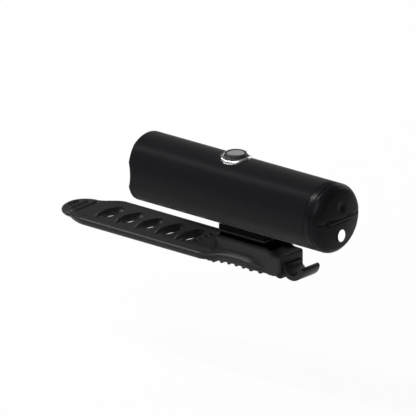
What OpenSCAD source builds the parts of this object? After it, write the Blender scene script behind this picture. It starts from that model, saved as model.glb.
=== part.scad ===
// Handlebar headlight: a round lamp on a rubber strap mount.
// X points along the beam, Z up, and the origin lies on the tip of the cradle's middle rib.

/* [Lamp body] */
// Outer diameter of the housing tube
tube_d = 34; // [33:0.5:38]
// Wall of the housing tube
tube_wall = 1.6; // [1.4:0.1:2]
// Length of the housing tube, from its front rim to the rear cap
tube_len = 110.8; // [108:0.2:120]
// Front rim of the tube ahead of the bracket's middle rib
tube_ahead = 64.1; // [61:0.1:67]
// Height of the tube's axis over the tip of the middle rib
axis_h = 32.1; // [32:0.1:36]
// Depth of the shallow side sweeps in the front rim
scallop_deep = 1.7; // [1:0.1:2.4]
// Height of the shallow side sweeps
scallop_h = 27; // [22:1:30]
// Depth of the notches in the middle of the side sweeps
notch_deep = 3.1; // [2.6:0.1:4]
// Height of the notches
notch_h = 11; // [8:1:16]

/* [Optics] */
// Wall of the tube round the lens
lens_wall = 1; // [0.8:0.1:1.2]
// Lens ring behind the bottom of the side notches
lens_inset = 0.4; // [0.2:0.1:1.5]
// Thickness of the lens ring
lens_ring_t = 1.2; // [0.8:0.1:2]
// Width of the lens ring
lens_ring_w = 1.8; // [1.2:0.1:3]
// Thickness of the lens
lens_t = 2.4; // [1.5:0.1:3]
// Thickness of the lens gasket
gasket_t = 0.8; // [0.5:0.1:1.2]
// Length of the reflector
reflector_len = 15; // [14:0.5:18]
// Mouth radius of one reflector bowl
bowl_r = 6.8; // [5:0.1:6.9]
// Wall between the two bowls
bowl_gap = 0.8; // [0.6:0.1:1.2]
// Side of one light emitter
emitter_w = 3.5; // [2.5:0.1:3.6]
// Height of one light emitter without its dome
emitter_t = 0.7; // [0.5:0.1:1]

/* [Inside] */
// Length of the heat sink behind the light board
sink_len = 9.6; // [6:0.1:14]
// Thickness of the circuit boards
board_t = 1.6; // [1:0.1:2]
// Diameter of the wire hole through the heat sink
wire_hole_d = 7; // [5:0.5:9]
// Diameter of the battery cell
cell_d = 18.4; // [17:0.1:19]
// Cell's axis below the tube's axis
cell_drop = 4; // [3.4:0.1:4.2]
// Thickness of the end walls of the inner chassis
chassis_end = 2.4; // [1.5:0.1:3]
// Thickness of the nickel tabs on the cell's ends
tab_t = 0.3; // [0.2:0.05:0.5]
// Thickness of the foam pad in front of the cell
pad_t = 0.8; // [0.5:0.1:1.5]
// Underside of the driver board below the top of the tube's bore
driver_under = 7.9; // [7.4:0.1:8.2]
// Width of the driver board
driver_w = 22; // [20:0.5:23]
// Width of the driver board's tail inside the rear cap
driver_tail_w = 13; // [11:0.5:15]

/* [Button] */
// Button's middle behind the tube's front rim
button_at = 55; // [50:0.5:60]
// Outer diameter of the button's bezel ring
bezel_d = 14.9; // [13.5:0.1:16]
// Bezel ring proud of the tube
bezel_proud = 1.1; // [0.7:0.1:1.3]
// Bezel ring let into the tube
bezel_sunk = 0.6; // [0.4:0.1:0.8]
// Diameter of the rubber boot inside the bezel
boot_d = 11.7; // [11.2:0.1:12.4]
// Diameter of the boot's shoulder
boot_shoulder_d = 10.5; // [10:0.1:10.8]
// Top of the boot's rim over the top of the tube
boot_rim_h = 1; // [0.6:0.1:1.2]
// Top of the boot's shoulder over the top of the tube
boot_shoulder_h = 2.3; // [1.8:0.1:2.6]
// Diameter of the button disc
disc_d = 8.2; // [7.5:0.1:8.6]
// Top of the button disc over the top of the tube
disc_h = 2; // [1.7:0.1:2.4]
// Travel of the button
button_travel = 0.5; // [0.3:0.05:0.6]
// Side of the switch under the button
switch_w = 6; // [5:0.1:6.5]
// Height of the switch's housing
switch_h = 2.4; // [2.2:0.1:3]
// Diameter of the switch's plunger
plunger_d = 3.2; // [2.8:0.1:3.6]
// Plunger standing out of the switch
plunger_out = 1.1; // [0.8:0.1:1.4]

/* [Rear cap] */
// Length of the cap's plug inside the tube
plug_len = 5.5; // [5:0.1:7]
// Wall of the cap's plug
plug_wall = 2.4; // [2:0.1:2.6]
// Straight band of the cap behind its joint with the tube
cap_band = 3.7; // [3:0.1:4.5]
// Length of the cap's tapered shoulder
cap_taper = 3; // [2.5:0.1:4]
// Drop of the cap's radius over the tapered shoulder
cap_drop = 2; // [1.4:0.1:2.4]
// Radius of the round edge between shoulder and end face
cap_round = 1.4; // [1:0.1:2]
// Height of the domed end face
cap_dome = 1.8; // [1.2:0.1:2.4]
// Depth and half width of the cap's two grooves
groove = 0.4; // [0.2:0.05:0.6]
// Thickness of the rear seal
seal_d = 1.6; // [1.2:0.1:1.8]
// Width of the port cover
cover_w = 22.6; // [20:0.2:25]
// Gap between the port cover's edge and the tube's outer radius
cover_margin = 0.8; // [0.4:0.1:1.6]
// Port cover proud of the domed end face
cover_proud = 0.5; // [0.3:0.1:1]
// Seat of the port cover below the tip of the dome
cover_sunk = 2.7; // [2.2:0.1:3]
// Hinge line of the port cover over the tube's axis
cover_hinge_h = 0.2; // [0:0.1:1]
// Radius of the port cover's hinge roll
cover_roll_r = 1; // [0.8:0.1:1.2]
// Width of the port cover's hinge roll
cover_roll_w = 18; // [14:0.5:20]
// Middle of the finger dent in the port cover over the tube's axis
dent_h = 6.5; // [5:0.1:8]
// Depth of the finger dent
dent_deep = 0.5; // [0.3:0.05:0.7]
// Radius of the finger dent's hollow
dent_r = 8; // [6:0.5:12]
// Width of the recess round the charging socket
recess_w = 14; // [12.5:0.5:16]
// Height of the recess round the charging socket
recess_h = 8; // [7:0.2:8.4]
// Depth of the recess round the charging socket
recess_deep = 4.5; // [4.2:0.1:5]
// Floor of the recess
recess_wall = 1.5; // [1:0.1:2]
// Width of the charging socket
socket_w = 9; // [8.5:0.1:9.5]
// Height of the charging socket
socket_h = 3.2; // [3:0.1:3.4]
// Length of the charging socket
socket_len = 7.4; // [6.5:0.1:8]
// Diameter of the indicator window
window_d = 6.4; // [5:0.1:7]
// Indicator window below the tube's axis
window_drop = 7.6; // [7.2:0.1:8.4]
// Diameter of the indicator's light pipe
pipe_d = 4.6; // [3.5:0.1:4.8]
// Diameter of the cap screws
cap_screw_d = 2; // [1.6:0.1:2.2]
// Diameter of the cap screws' heads
cap_screw_head_d = 3.4; // [3:0.1:3.6]
// Height of the cap screws' heads
cap_screw_head_h = 1.2; // [0.8:0.1:1.6]

/* [Foot] */
// Front end of the foot ahead of the middle rib
foot_front = 14.1; // [12:0.1:15]
// Rear end of the foot behind the middle rib
foot_back = 14.1; // [12:0.1:14.6]
// Width of the foot's upper rail
rail_w = 13.4; // [12:0.1:13.6]
// Lower edge of the foot's rail below the tube's axis
rail_drop = 19.2; // [18.8:0.1:20]
// Width of the foot's neck between the cradle's walls
neck_w = 11.2; // [9:0.1:11.6]
// Diameter of the bracket screws
screw_d = 3; // [2.5:0.1:3.5]
// Diameter of the bracket screws' heads
screw_head_d = 5.6; // [5:0.1:6]
// Height of the bracket screws' heads
screw_head_h = 1.8; // [1.4:0.1:2]
// Distance between the two bracket screws
screw_pitch = 16; // [12:0.5:18]

/* [Bracket] */
// Length of the cradle block
block_len = 45; // [43:0.5:48]
// Middle of the cradle block behind the middle rib
block_mid = 3.2; // [2:0.1:4]
// Width of the cradle block
block_w = 17.8; // [17:0.1:20]
// Thickness of the cradle's side walls
block_wall = 1.9; // [1.6:0.1:2]
// Thickness of the cradle's rear wall
rear_wall = 1.8; // [1.4:0.1:2.4]
// Top of the cradle's side walls over the middle rib's tip
wall_top = 10.9; // [10:0.1:11.5]
// Top of the cradle's rear wall over the middle rib's tip
rear_top = 8.8; // [7.4:0.1:9.4]
// Length of the slope between the two heights
wall_slope = 5.2; // [4:0.1:7]
// Level top of the cradle's rear end behind the slope
rear_level = 4.6; // [3:0.1:6]
// Chamfer between the level top and the rear wall
rear_chamfer = 0.8; // [0.4:0.1:1.2]
// Radius of the cradle's upright rear corners
block_corner = 3; // [1.5:0.1:4]
// Underside of the cradle's rear end below the middle rib's tip
block_drop = 1.3; // [0.8:0.1:1.6]
// Radius of the arched seat through the tips of the ribs
arch_r = 80; // [60:1:120]
// Height of the ribs under the cradle
rib_h = 1; // [0.6:0.1:1.2]
// Length of the ribs under the cradle
rib_len = 24; // [20:0.5:25]
// Width of the flange along the cradle's foot
flange_w = 24.2; // [22:0.1:26]
// Thickness of the flange along the cradle's foot
flange_t = 3; // [2.4:0.1:3.4]
// Start of the flare behind the front of the cradle block
flare_at = 2.3; // [2:0.1:4]
// Length of the flare from the strap's width to the flange
flare_len = 11.4; // [8:0.1:13]
// End of the flange ahead of the cradle block's rear
fade_at = 9; // [6:0.1:10]
// Length over which the flange runs into the block's wall
fade_len = 7; // [4:0.1:10]
// Number of ribs under the cradle
rib_n = 7; // [5:1:9]
// Distance between the ribs
rib_pitch = 4.5; // [3.8:0.1:4.7]
// Width of one rib
rib_w = 2; // [1.2:0.1:2.4]
// Thickness of the bracket's plate
plate_t = 2; // [1.6:0.1:2.4]
// Top of the bracket's plate over the middle rib's tip
plate_top = 4.3; // [4.2:0.1:4.9]
// Height of the bracket's rear stop over its plate
stop_h = 4.2; // [2:0.1:4.6]
// Length of the bracket's rear stop
stop_len = 7.6; // [5:0.1:8]
// Width of the hook
hook_w = 12.6; // [12:0.1:13.8]
// Thickness of the hook
hook_t = 2.4; // [2:0.1:2.6]
// Radius of the hook's round through the middle of its thickness
hook_r = 5.6; // [5:0.1:6]
// Middle of the hook's round behind the cradle block
hook_reach = 5.3; // [5:0.1:5.8]
// Middle of the hook's round over the middle rib's tip
hook_h = 4.4; // [4.3:0.1:4.8]
// Middle of the hook's tip over the middle rib's tip
lip_h = 3.5; // [2.8:0.1:4.2]

/* [Strap] */
// Width of the strap
strap_w = 33.4; // [31:0.2:35]
// Thickness of the strap's edge bead
strap_t = 3.7; // [3:0.1:4.4]
// Top of the strap between its beads below the top of the beads
strap_dish = 0.5; // [0.2:0.05:0.8]
// Underside of the strap below the middle rib's tip
strap_drop = 0.3; // [0:0.05:0.4]
// First slot's middle ahead of the cradle block
slot_start = 19; // [17:0.1:22]
// Distance between the slots
slot_pitch = 12.5; // [11.5:0.1:14]
// Length of one slot across the strap
slot_len = 16.4; // [14:0.1:18]
// Width of one slot along the strap
slot_w = 8.2; // [7:0.1:9]
// Bevel round the top of a slot
slot_bevel = 1.1; // [0.6:0.1:1.3]
// Width of the strap's pull tip
tip_w = 20; // [17:0.1:22]
// Length of the strap past the last slot's middle, from where its edges sweep in
tip_len = 27.6; // [27:0.1:34]
// Underside of the strap's web over the underside of its edge beads
web_lift = 0.6; // [0.3:0.1:1]
// Length of the strap's thicker root in front of the cradle
root_len = 10; // [8:0.1:10.4]
// Distance between the grooves of the pull tip
grip_pitch = 4; // [3.4:0.1:4.4]
// Depth of the grooves of the pull tip
grip_deep = 0.7; // [0.4:0.1:1]
// Width of one groove of the pull tip
grip_w = 1.8; // [1.2:0.1:2.2]
// Height of the grip studs near the strap's root
stud_h = 0.7; // [0.4:0.1:1]
// Diameter of one grip stud
stud_d = 2.2; // [1.6:0.1:2.6]

/* [Hidden] */
$fn = 64;
// Cutters run past a face by this much
over = 1;
// Gap between fixed pieces that slip together
slip = 0.1;
// Gap between pieces that move past each other
run = 0.3;
// Gap round the port cover's hinge roll
roll_gap = 0.5;
// Joined shapes run into each other by this much
bite = 0.2;
// Thin floors and lips of small parts
thin = 0.4;

// Optics, as depths behind the tube's front rim
tube_r = tube_d / 2;
bore_r = tube_r - tube_wall;
lens_seat_r = tube_r - lens_wall;
inner_r = bore_r - slip;
lens_r = lens_seat_r - slip;
scallop_r = (pow(scallop_h / 2, 2) + pow(scallop_deep, 2)) / (2 * scallop_deep);
notch_step = notch_deep - scallop_deep;
notch_r = (pow(notch_h / 2, 2) + pow(notch_step, 2)) / (2 * notch_step);
ring_at = notch_deep + lens_inset;
lens_at = ring_at + lens_ring_t;
gasket_at = lens_at + lens_t;
ledge_at = gasket_at + gasket_t;
led_board_at = ledge_at + reflector_len;
sink_at = led_board_at + board_t;
plug_at = tube_len - plug_len;
chassis_at = sink_at + sink_len;
chassis_len = plug_at - chassis_at;
cell_len = chassis_len - pad_t - 2 * (chassis_end + tab_t);
cell_at = plug_at - chassis_end - tab_t - cell_len;
driver_h = bore_r - driver_under;
bowl_y = bowl_r + bowl_gap / 2;
emitter_hole_r = emitter_w * 0.75;
bowl_steps = 20;
dome_steps = 14;
round_step = 5;
bowl_deep = reflector_len * 0.94;

// Rear cap, as depths behind the tube's front rim
cap_edge_r = tube_r - cap_drop;
cap_face_r = cap_edge_r - cap_round;
cap_edge_at = tube_len + cap_band + cap_taper;
cap_face_at = cap_edge_at + cap_round;
cap_end = cap_face_at + cap_dome;
dome_r = (pow(cap_face_r, 2) + pow(cap_dome, 2)) / (2 * cap_dome);
cover_seat = cap_end - cover_sunk;
cover_r = tube_r - cover_margin;
roll_at = cap_end - cover_roll_r + bite;
dent_at = cap_end - dome_r + sqrt(pow(dome_r, 2) - pow(dent_h, 2)) + cover_proud;
recess_floor = cover_seat - recess_deep;
cap_inner = recess_floor - recess_wall;
cap_hollow_r = bore_r - slip - plug_wall;
socket_mid = driver_h - socket_h / 2;
socket_end = recess_floor - 2 * slip;
window_face = cap_end - dome_r + sqrt(pow(dome_r, 2) - pow(window_drop, 2)) + thin;
window_t = 1.6;
cap_screw_y = (recess_w + cap_screw_head_d) / 2 + thin;
cap_screw_x = socket_mid - 1;
led_side = 3;
led_h = 1.2;
led_top = plug_at + board_t + led_h;
rear_board_top = cap_screw_x - cap_screw_d / 2 - 3 * run;
socket_wall = 0.3;

// Button, as heights over the tube's axis
driver_top = driver_h + board_t;
switch_top = driver_top + switch_h;
plunger_top = switch_top + plunger_out;
disc_under = bore_r - thin;
boot_under = bore_r - 2.4;
boot_flange_d = bezel_d + 2 * run;
switch_floor = driver_top + thin;
stem_d = plunger_d;

// Bracket, in heights over the middle rib's tip and places along X
block_front = block_len / 2 - block_mid;
block_back = -block_len / 2 - block_mid;
arch_under = arch_r + rib_h;
arch_top = arch_under + flange_t;
rib_turn = rib_pitch / arch_r * 180 / PI;
pad_front = (rib_n - 1) / 2 * rib_pitch + rib_w / 2;
flare_front = block_front - flare_at;
flare_back = flare_front - flare_len;
fade_back = block_back + fade_at;
fade_front = fade_back + fade_len;
flare_steps = 16;
plate_under = plate_top - plate_t;
cavity_w = block_w - 2 * block_wall;
plate_w = cavity_w - 2 * slip;
cavity_front = foot_front + 10 * slip;
cavity_back = block_back + rear_wall;
stop_front = cavity_back + slip + stop_len;
front_round = 2.6;
hook_x = block_back - hook_reach;
hook_tip_x = hook_x - sqrt(pow(hook_r, 2) - pow(hook_h - lip_h, 2));
screw_mid = (foot_front - foot_back) / 2;
screw_top = axis_h - tube_r + tube_wall + 2 * run;
screw_sunk = 1;

// Strap
slot_n = 5;
bead_r = strap_t / 2;
strap_h = -strap_drop;
strap_top = strap_h + strap_t;
dish_top = strap_top - strap_dish;
slot_r = (pow(slot_len / 2, 2) + pow(slot_w / 2, 2)) / slot_w;
slot_xs = [for (i = [0 : slot_n - 1]) block_front + slot_start + i * slot_pitch];
bends = concat([block_front], [for (x = slot_xs) x - slot_pitch / 2]);
shoulder_x = slot_xs[slot_n - 1];
tip_x = shoulder_x + tip_len;
tip_r = tip_w / 2;
sweep_steps = 16;
sweep_len = tip_len - tip_r;
sweep_edge = [for (i = [0 : sweep_steps]) let (t = i / sweep_steps)
    [shoulder_x + sweep_len * t, (strap_w + tip_w) / 4 + (strap_w - tip_w) / 4 * cos(180 * t)]];
grip_n = 3;
grip_x = tip_x - tip_r - grip_pitch;
grip_edge = 2;
grip_step = 2;
stud_n = 5;
stud_pitch = 4;
stud_x = bends[1] - stud_d / 2 - slip;

// Edge of the cradle's foot: from the strap's width in a soft S to the flange, then in to the block's wall.
flare_edge = concat(
    [[block_front, strap_w / 2]],
    [for (i = [0 : flare_steps]) let (t = i / flare_steps)
        [
            flare_front + (flare_back - flare_front) * t,
            (strap_w + flange_w) / 4 + (strap_w - flange_w) / 4 * cos(180 * t)
        ]],
    [[fade_front, flange_w / 2], [fade_back, block_w / 2]]
);

// Places its children at a depth behind the tube's front rim: their z runs rearward, their x up.
module at_depth(depth) {
    translate([tube_ahead - depth, 0, axis_h])
        rotate([0, -90, 0])
            children();
}

// A disc with a hole, as used for rings and gaskets.
module washer(r, hole_r, t) {
    difference() {
        cylinder(r = r, h = t);
        translate([0, 0, -over])
            cylinder(r = hole_r, h = t + 2 * over);
    }
}

// Upright round cutter or post over the button's middle, between two heights over the axis.
module button_post(d, low, high) {
    at_depth(button_at)
        translate([low, 0, 0])
            rotate([0, 90, 0])
                cylinder(d = d, h = high - low);
}

// Round bar along the tube's axis, round the button.
module button_bar(r) {
    at_depth(button_at - bezel_d)
        cylinder(r = r, h = 2 * bezel_d);
}

// A box given by its low and high corners.
module block(low, high) {
    translate(low)
        cube(high - low);
}

// Side profile of the hook in X and Z: a round band behind the cradle block, ending in a round tip.
module hook_profile() {
    intersection() {
        translate([hook_x, hook_h])
            difference() {
                circle(r = hook_r + hook_t / 2);
                circle(r = hook_r - hook_t / 2);
            }
        union() {
            translate([hook_x, hook_h - tube_d])
                square([hook_reach - slip, tube_d - hook_h + plate_top]);
            translate([hook_x - tube_d, lip_h - tube_d])
                square([tube_d, tube_d]);
        }
    }
    translate([hook_tip_x, lip_h])
        circle(r = hook_t / 2);
}

// Turns a profile drawn in X and Z into a solid of the given width, centred on Y.
module across(width) {
    translate([0, width / 2, 0])
        rotate([90, 0, 0])
            linear_extrude(height = width)
                children();
}

// Round cutter across the front rim, down to a depth behind it.
module rim_cut(deep, r) {
    translate([0, 0, deep - r])
        rotate([90, 0, 0])
            cylinder(r = r, h = tube_d + 2 * over, center = true);
}

module housing_tube() {
    color("#1a1a1c")
        difference() {
            at_depth(0)
                difference() {
                    cylinder(r = tube_r, h = tube_len);
                    translate([0, 0, -over])
                        cylinder(r = bore_r, h = tube_len + 2 * over);
                    translate([0, 0, -over])
                        cylinder(r = lens_seat_r, h = ledge_at + over);
                    rim_cut(scallop_deep, scallop_r);
                    rim_cut(notch_deep, notch_r);
                }
            button_post(boot_d + 2 * slip, 0, tube_d);
            difference() {
                button_post(bezel_d + 2 * slip, 0, tube_d);
                button_bar(tube_r - bezel_sunk - slip);
            }
            bracket_screw_posts(screw_d + 2 * slip, 0, axis_h);
        }
}

module lens_ring() {
    color("#242426")
        at_depth(ring_at)
            washer(lens_r, lens_r - lens_ring_w, lens_ring_t);
}

module front_lens() {
    color("#dfe6ea")
        at_depth(lens_at)
            cylinder(r = lens_r, h = lens_t);
}

module lens_gasket() {
    color("#303030")
        at_depth(gasket_at)
            washer(lens_r, lens_r - lens_ring_w, gasket_t);
}

// Paraboloid bowl, open at z = 0, narrowing to its vertex at bowl_deep.
module bowl() {
    rotate_extrude()
        polygon(concat(
            [[0, -over], [bowl_r, -over]],
            [for (i = [0 : bowl_steps]) let (t = i / bowl_steps) [bowl_r * sqrt(1 - t), bowl_deep * t]]
        ));
}

module reflector() {
    color("#c9cdd2")
        at_depth(ledge_at)
            difference() {
                cylinder(r = inner_r, h = reflector_len);
                for (side = [-1, 1])
                    translate([0, side * bowl_y, 0]) {
                        bowl();
                        translate([0, 0, reflector_len / 2])
                            cylinder(r = emitter_hole_r, h = reflector_len);
                    }
            }
}

module led_board() {
    color("#e8e8e4")
        at_depth(led_board_at)
            cylinder(r = inner_r, h = board_t);
}

module led_emitters() {
    color("#f4d75a")
        at_depth(led_board_at - emitter_t)
            for (side = [-1, 1])
                translate([0, side * bowl_y, 0]) {
                    translate([-emitter_w / 2, -emitter_w / 2, 0])
                        cube([emitter_w, emitter_w, emitter_t]);
                    difference() {
                        sphere(d = emitter_w - thin);
                        translate([-emitter_w, -emitter_w, emitter_t / 2])
                            cube(2 * emitter_w);
                    }
                }
}

module heat_sink() {
    color("#9a9da1")
        at_depth(sink_at)
            washer(inner_r, wire_hole_d / 2, sink_len);
}

// Flat-topped cross-section of the inner chassis.
module chassis_section() {
    difference() {
        circle(r = inner_r);
        translate([driver_h, -tube_d / 2])
            square(tube_d);
    }
}

module inner_chassis() {
    color("#3a3d42")
        difference() {
            at_depth(chassis_at)
                difference() {
                    linear_extrude(height = chassis_len)
                        chassis_section();
                    translate([0, 0, chassis_end])
                        linear_extrude(height = chassis_len - 2 * chassis_end) {
                            translate([-cell_drop, 0])
                                circle(d = cell_d + 2 * slip);
                            translate([-cell_drop, -cell_d / 2 - slip])
                                square([tube_d, cell_d + 2 * slip]);
                        }
                    for (side = [-1, 1])
                        translate([cap_screw_x, side * cap_screw_y, chassis_len - chassis_end - over])
                            cylinder(d = cap_screw_d + 2 * slip, h = chassis_end + 2 * over);
                }
            bracket_screw_posts(screw_d + 2 * slip, 0, axis_h);
        }
}

module battery_cell() {
    color("#2f6f9f")
        at_depth(cell_at)
            translate([-cell_drop, 0, 0])
                cylinder(d = cell_d, h = cell_len);
}

module cell_tabs() {
    color("#c4c6c8")
        for (depth = [cell_at - tab_t, cell_at + cell_len])
            at_depth(depth)
                translate([-cell_drop - cell_d / 4, -cell_d / 6, 0])
                    cube([cell_d / 2 + cell_drop, cell_d / 3, tab_t]);
}

module cell_pad() {
    color("#55585c")
        at_depth(cell_at - tab_t - pad_t)
            translate([-cell_drop, 0, 0])
                cylinder(d = cell_d - 2 * thin, h = pad_t);
}

module driver_board() {
    color("#2c6b43")
        at_depth(0) {
            translate([driver_h, -driver_w / 2, chassis_at])
                cube([board_t, driver_w, chassis_len]);
            translate([driver_h, -driver_tail_w / 2, chassis_at])
                cube([board_t, driver_tail_w, cap_inner - slip - chassis_at]);
        }
}

module switch_body() {
    color("#4a4a4c")
        difference() {
            at_depth(button_at)
                translate([driver_top, -switch_w / 2, -switch_w / 2])
                    cube([switch_h, switch_w, switch_w]);
            button_post(plunger_d + 2 * run, switch_floor, tube_d);
        }
}

module switch_plunger() {
    color("#8c2f2f")
        button_post(plunger_d, switch_floor + run + button_travel, plunger_top);
}

module button_ring() {
    color("#d5d6d8")
        difference() {
            intersection() {
                button_post(bezel_d, 0, tube_d);
                button_bar(tube_r + bezel_proud);
            }
            button_bar(tube_r - bezel_sunk);
            button_post(boot_d + 2 * slip, 0, tube_d);
        }
}

module button_boot() {
    color("#2b2c2e")
        difference() {
            union() {
                button_post(boot_d, boot_under, tube_r + boot_rim_h);
                button_post(boot_shoulder_d, boot_under, tube_r + boot_shoulder_h);
                intersection() {
                    button_post(boot_flange_d, boot_under, tube_r);
                    button_bar(bore_r - slip);
                }
            }
            button_post(disc_d + 2 * run, 0, tube_d);
        }
}

module button_cap() {
    color("#8d9092") {
        button_post(disc_d, disc_under, tube_r + disc_h);
        button_post(stem_d, plunger_top, disc_under);
    }
}

// Arc of the domed end face, from a radius in to the axis: radius against depth.
function dome_arc(edge_r) = [
    for (i = [0 : dome_steps])
        let (r = edge_r * (1 - i / dome_steps))
        [r, cap_end - dome_r + sqrt(pow(dome_r, 2) - pow(r, 2))]
];

// Outer half profile of the rear cap: radius against depth behind the tube's end.
function cap_profile() = concat(
    [
        [0, 0], [tube_r - groove, 0], [tube_r, groove],
        [tube_r, cap_band - groove], [tube_r - groove, cap_band], [tube_r, cap_band + groove]
    ],
    [for (a = [0 : round_step : 85])
        [cap_face_r + cap_round * cos(a), cap_band + cap_taper + cap_round * sin(a)]],
    [for (p = dome_arc(cap_face_r)) [p[0], p[1] - tube_len]]
);

// Outline of the port cover seen along the tube's axis.
module cover_outline() {
    intersection() {
        circle(r = cover_r);
        translate([cover_hinge_h + run, -cover_w / 2])
            square([tube_d, cover_w]);
    }
}

// Hinge roll of the port cover, along Y.
module cover_roll(r, width) {
    translate([cover_hinge_h, 0, roll_at])
        rotate([90, 0, 0])
            cylinder(r = r, h = width, center = true);
}

module cap_screw_posts(d, from, to) {
    for (side = [-1, 1])
        translate([cap_screw_x, side * cap_screw_y, from])
            cylinder(d = d, h = to - from);
}

module rear_cap() {
    color("#1d1e24")
        at_depth(0)
            difference() {
                union() {
                    translate([0, 0, tube_len])
                        rotate_extrude()
                            polygon(cap_profile());
                    translate([0, 0, plug_at])
                        cylinder(r = inner_r, h = plug_len);
                }
                translate([0, 0, plug_at - over])
                    cylinder(r = cap_hollow_r, h = cap_inner - plug_at + over);
                translate([0, 0, plug_at + plug_len / 2 - seal_d / 2 - slip])
                    washer(tube_r, inner_r - seal_d - slip, seal_d + 2 * slip);
                translate([cover_hinge_h, -tube_d, cover_seat])
                    cube([tube_d, 2 * tube_d, cover_sunk + over]);
                cover_roll(cover_roll_r + roll_gap, cover_roll_w + 2 * roll_gap);
                cap_screw_posts(cap_screw_d + 2 * slip, plug_at, cap_end);
                cap_screw_posts(cap_screw_head_d + 2 * slip, cover_seat - cap_screw_head_h - slip, cap_end);
                translate([socket_mid - recess_h / 2, -recess_w / 2, recess_floor])
                    cube([recess_h, recess_w, recess_deep + over]);
                translate([socket_mid - socket_h / 2 - slip, -socket_w / 2 - slip, cap_inner - over])
                    cube([socket_h + 2 * slip, socket_w + 2 * slip, recess_wall + 2 * over]);
                translate([-window_drop, 0, cap_inner - over])
                    cylinder(d = pipe_d + 2 * slip, h = cap_end);
                translate([-window_drop, 0, window_face - window_t])
                    cylinder(d = window_d + 2 * slip, h = cap_end);
            }
}

module rear_seal() {
    color("#7a2f2a")
        at_depth(plug_at + plug_len / 2)
            rotate_extrude()
                translate([inner_r - seal_d / 2, 0])
                    circle(d = seal_d);
}

module cap_screws() {
    color("#b4b6b8")
        at_depth(0) {
            cap_screw_posts(cap_screw_d, plug_at - chassis_end, cover_seat - slip);
            cap_screw_posts(cap_screw_head_d, cover_seat - cap_screw_head_h - slip, cover_seat - slip);
        }
}

module port_cover() {
    color("#20212a")
        at_depth(0) {
            difference() {
                intersection() {
                    translate([0, 0, cover_seat])
                        linear_extrude(height = 2 * cover_sunk)
                            cover_outline();
                    translate([0, 0, cover_proud])
                        rotate_extrude()
                            polygon(concat([[0, plug_at], [tube_r, plug_at]], dome_arc(tube_r)));
                }
                translate([dent_h, 0, dent_at + dent_r - dent_deep])
                    sphere(r = dent_r);
            }
            cover_roll(cover_roll_r, cover_roll_w);
        }
}

module usb_socket() {
    color("#b9bcc0")
        at_depth(0)
            translate([socket_mid, 0, socket_end - socket_len])
                difference() {
                    translate([-socket_h / 2, -socket_w / 2, 0])
                        cube([socket_h, socket_w, socket_len]);
                    translate([socket_wall - socket_h / 2, socket_wall - socket_w / 2, over])
                        cube([socket_h - 2 * socket_wall, socket_w - 2 * socket_wall, socket_len]);
                }
}

module rear_board() {
    color("#2c6b43")
        at_depth(plug_at)
            intersection() {
                cylinder(r = cap_hollow_r - slip, h = board_t);
                translate([-tube_d, -tube_d, 0])
                    cube([tube_d + rear_board_top, 2 * tube_d, board_t]);
            }
}

module indicator_led() {
    color("#e9e6da")
        at_depth(plug_at + board_t)
            translate([-window_drop - led_side / 2, -led_side / 2, 0])
                cube([led_side, led_side, led_h]);
}

module indicator_lens() {
    color("#e6ebee")
        at_depth(0)
            translate([-window_drop, 0, 0]) {
                translate([0, 0, window_face - window_t])
                    cylinder(d = window_d, h = window_t);
                translate([0, 0, led_top])
                    cylinder(d = pipe_d, h = window_face - led_top);
            }
}

// Upright posts at the two bracket screws, between two heights over the middle rib's tip.
module bracket_screw_posts(d, low, high) {
    for (side = [-1, 1])
        translate([screw_mid + side * screw_pitch / 2, 0, low])
            cylinder(d = d, h = high - low);
}

module mount_foot() {
    color("#0d0d0e")
        difference() {
            union() {
                block([-foot_back, -rail_w / 2, axis_h - rail_drop], [foot_front, rail_w / 2, axis_h]);
                block([-foot_back, -neck_w / 2, plate_top], [foot_front, neck_w / 2, axis_h]);
            }
            at_depth(0)
                cylinder(r = tube_r + slip, h = tube_len);
            bracket_screw_posts(screw_d + 2 * slip, 0, axis_h);
        }
}

module bracket_frame() {
    color("#141416")
        difference() {
            union() {
                block([block_back, -plate_w / 2, plate_under], [cavity_front - slip, plate_w / 2, plate_top]);
                block(
                    [stop_front - stop_len, -plate_w / 2, plate_under],
                    [stop_front, plate_w / 2, plate_top + stop_h]
                );
                block(
                    [block_back - hook_t / 2, -hook_w / 2, plate_under],
                    [block_back, hook_w / 2, plate_top]
                );
                across(hook_w)
                    hook_profile();
            }
            bracket_screw_posts(screw_d + 2 * slip, 0, axis_h);
            bracket_screw_posts(screw_head_d + 2 * slip, 0, plate_under + screw_head_h - screw_sunk);
        }
}

module bracket_screws() {
    color("#a9abad") {
        bracket_screw_posts(screw_d, plate_under, screw_top);
        bracket_screw_posts(screw_head_d, plate_under - screw_sunk, plate_under + screw_head_h - screw_sunk);
    }
}

// Round of the arched seat in X and Z, through the ribs' tips or above them.
module arch_round(r) {
    translate([0, -arch_r])
        circle(r = r);
}

// Side profile of the cradle block in X and Z, with an arched underside.
module block_profile() {
    difference() {
        union() {
            polygon([
                [block_front, strap_h], [block_front, strap_top],
                [block_front - front_round, strap_top + front_round],
                [block_front - front_round, wall_top - front_round],
                [block_front - 2 * front_round, wall_top],
                [block_back + rear_level + wall_slope, wall_top], [block_back + rear_level, rear_top],
                [block_back + rear_chamfer, rear_top], [block_back, rear_top - rear_chamfer],
                [block_back, -block_drop], [pad_front, -block_drop], [pad_front, strap_h]
            ]);
            translate([block_front - 2 * front_round, wall_top - front_round])
                circle(r = front_round);
        }
        translate([block_front, strap_top + front_round])
            circle(r = front_round);
        arch_round(arch_under);
    }
}

// Side profile of the flange along the cradle's foot: a strip of the arch.
module flange_profile() {
    intersection() {
        difference() {
            arch_round(arch_top);
            arch_round(arch_under);
        }
        translate([fade_back, -tube_d])
            square([pad_front - fade_back, 2 * tube_d]);
    }
}

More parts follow.
